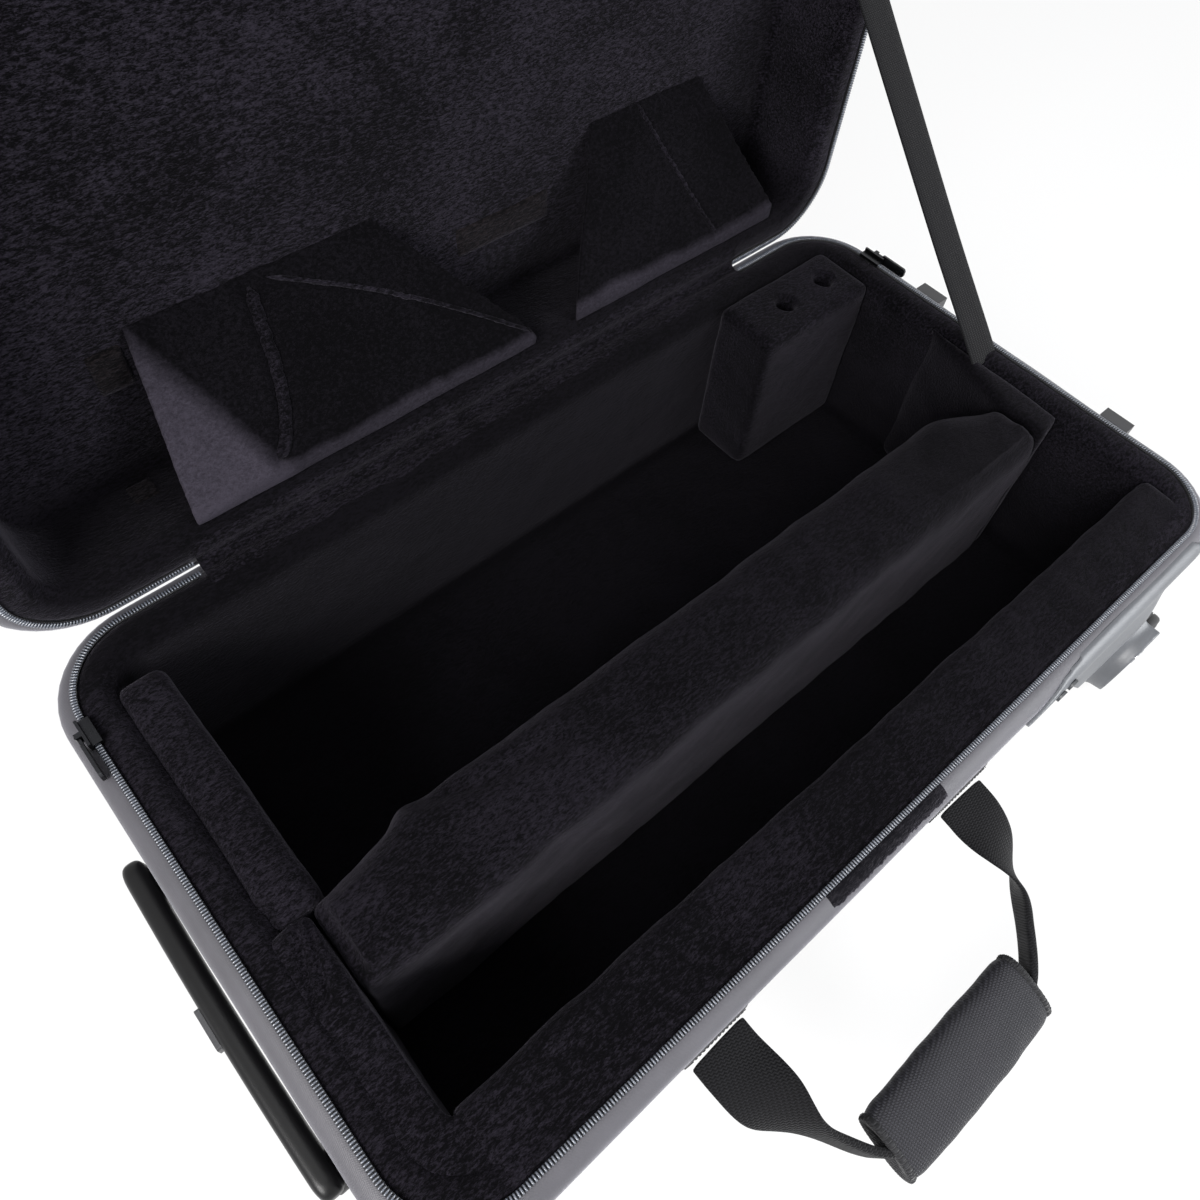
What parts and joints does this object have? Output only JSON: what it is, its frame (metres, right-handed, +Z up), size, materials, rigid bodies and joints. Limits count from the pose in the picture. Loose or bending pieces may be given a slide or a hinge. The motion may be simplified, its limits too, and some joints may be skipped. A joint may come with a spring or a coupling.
{
  "type": "wheeled instrument case",
  "caption": "Soft-covered wheeled case for two brass instruments, lid held open by a strap, plush wells, zip closure, carry handle and pull-out trolley handle.",
  "frame": {"origin": "on the ground under the middle of the base, at the centre of the middle skid's underside", "axes": "+X along the case from the trolley end to the wheel end, +Y from the carry handle to the hinge, +Z up with the case lying open"},
  "size_m": [0.6395, 0.5494, 0.51],
  "materials": {
    "shell_cloth": "matt woven nylon",
    "shell_board": "matt moulded board",
    "plush": "short-pile plush",
    "zip_tape": "woven tape",
    "zip_coil": "nylon coil",
    "zip_metal": "black enamel",
    "webbing": "woven webbing",
    "wheel_plastic": "satin moulded plastic",
    "tyre": "matt",
    "hub_plastic": "satin",
    "steel": "bright",
    "aluminium": "satin anodised",
    "grip_plastic": "fine texture",
    "foot_plastic": "satin",
    "black_screw": "black"
  },
  "bodies": {
    "base": {"base_cover": "shell_cloth", "base_frame": "shell_board", "base_false_floor": "shell_board", "base_lining": "plush", "left_end_pad": "plush", "front_left_block": "plush", "front_pad": "plush", "divider_pad": "plush", "right_gusset_pad": "plush", "mouthpiece_block": "plush", "base_zip_tape": "zip_tape", "base_zip_coil": "zip_coil", "base_hinge_strip": "shell_cloth", "front_loop_strip": "plush", "bottom_skids": "foot_plastic", "stand_feet": "foot_plastic", "front_wheel_pod": "wheel_plastic", "back_wheel_pod": "wheel_plastic", "pod_screws": "black_screw", "front_axle": "steel", "back_axle": "steel", "trolley_bezel": "grip_plastic", "bezel_screws": "black_screw", "trolley_outer_tubes": "aluminium", "trolley_end_bracket": "shell_board", "handle_patches": "webbing", "hinge_gusset": "plush", "lid_strap": "webbing"},
    "lid": {"lid_cover": "shell_cloth", "lid_frame": "shell_board", "lid_lining": "plush", "left_lid_pad": "plush", "right_lid_pad": "plush", "lid_loop_patches": "plush", "lid_zip_tape": "zip_tape", "lid_zip_coil": "zip_coil", "lid_hinge_strip": "shell_cloth", "lid_pocket": "shell_cloth", "pocket_zip_coil": "zip_coil"},
    "front_wheel": {"front_wheel_tyre": "tyre", "front_wheel_hub": "hub_plastic", "front_wheel_bearings": "steel"},
    "back_wheel": {"back_wheel_tyre": "tyre", "back_wheel_hub": "hub_plastic", "back_wheel_bearings": "steel"},
    "trolley_mid": {"trolley_mid_tubes": "aluminium", "trolley_mid_collars": "grip_plastic"},
    "trolley_handle": {"trolley_inner_tubes": "aluminium", "trolley_grip": "grip_plastic"},
    "trolley_release": {"trolley_button": "hub_plastic"},
    "right_slider": {"zip_slider_right": "zip_metal"},
    "left_slider": {"zip_slider_left": "zip_metal"},
    "right_pull": {"zip_pull_right": "zip_metal"},
    "left_pull": {"zip_pull_left": "zip_metal"},
    "pocket_zip_slider": {"pocket_slider": "zip_metal"},
    "pocket_zip_pull": {"pocket_pull": "zip_metal"},
    "carry_handle": {"carry_handle_webbing": "webbing", "carry_handle_wrap": "webbing"}
  },
  "joints": [
    {"name": "lid_hinge", "type": "hinge", "parent": "base", "child": "lid", "pos_m": [0, 0.16685, 0.16815], "axis": [1, 0, 0], "range_deg": [0, 90], "deforming": ["lid_strap", "hinge_gusset"]},
    {"name": "trolley_mid_slide", "type": "slide", "parent": "base", "child": "trolley_mid", "axis": [-1, 0, 0], "range_m": [0, 0.21]},
    {"name": "trolley_handle_slide", "type": "slide", "parent": "trolley_mid", "child": "trolley_handle", "axis": [-1, 0, 0], "range_m": [0, 0.21]},
    {"name": "trolley_button_press", "type": "slide", "parent": "trolley_handle", "child": "trolley_release", "axis": [1, 0, 0], "range_m": [0, 0.0018], "stiffness_N_per_m": 1000, "springref_m": -0.001},
    {"name": "front_wheel_spin", "type": "hinge", "parent": "base", "child": "front_wheel", "pos_m": [0.279, -0.182, 0.032], "axis": [0, 1, 0], "continuous": true},
    {"name": "back_wheel_spin", "type": "hinge", "parent": "base", "child": "back_wheel", "pos_m": [0.279, 0.182, 0.032], "axis": [0, 1, 0], "continuous": true},
    {"name": "right_slider_run", "type": "slide", "parent": "base", "child": "right_slider", "axis": [0, -1, 0], "range_m": [0, 0.228]},
    {"name": "left_slider_run", "type": "slide", "parent": "base", "child": "left_slider", "axis": [0, -1, 0], "range_m": [0, 0.228]},
    {"name": "right_pull_swing", "type": "hinge", "parent": "right_slider", "child": "right_pull", "pos_m": [0.2946, 0.114, 0.17], "axis": [0, 0, 1], "range_deg": [0, 170]},
    {"name": "left_pull_swing", "type": "hinge", "parent": "left_slider", "child": "left_pull", "pos_m": [-0.2946, 0.114, 0.17], "axis": [0, 0, -1], "range_deg": [0, 170]},
    {"name": "pocket_slider_run", "type": "slide", "parent": "lid", "child": "pocket_zip_slider", "axis": [-1, 0, 0], "range_m": [0, 0.338]},
    {"name": "pocket_pull_swing", "type": "hinge", "parent": "pocket_zip_slider", "child": "pocket_zip_pull", "pos_m": [0.169, 0.2572, 0.441], "axis": [0, 0, -1], "range_deg": [0, 170]},
    {"name": "carry_handle_swing", "type": "hinge", "parent": "base", "child": "carry_handle", "pos_m": [-0.042, -0.1778, 0.094], "axis": [-1, 0, 0], "range_deg": [-4, 80]}
  ]
}
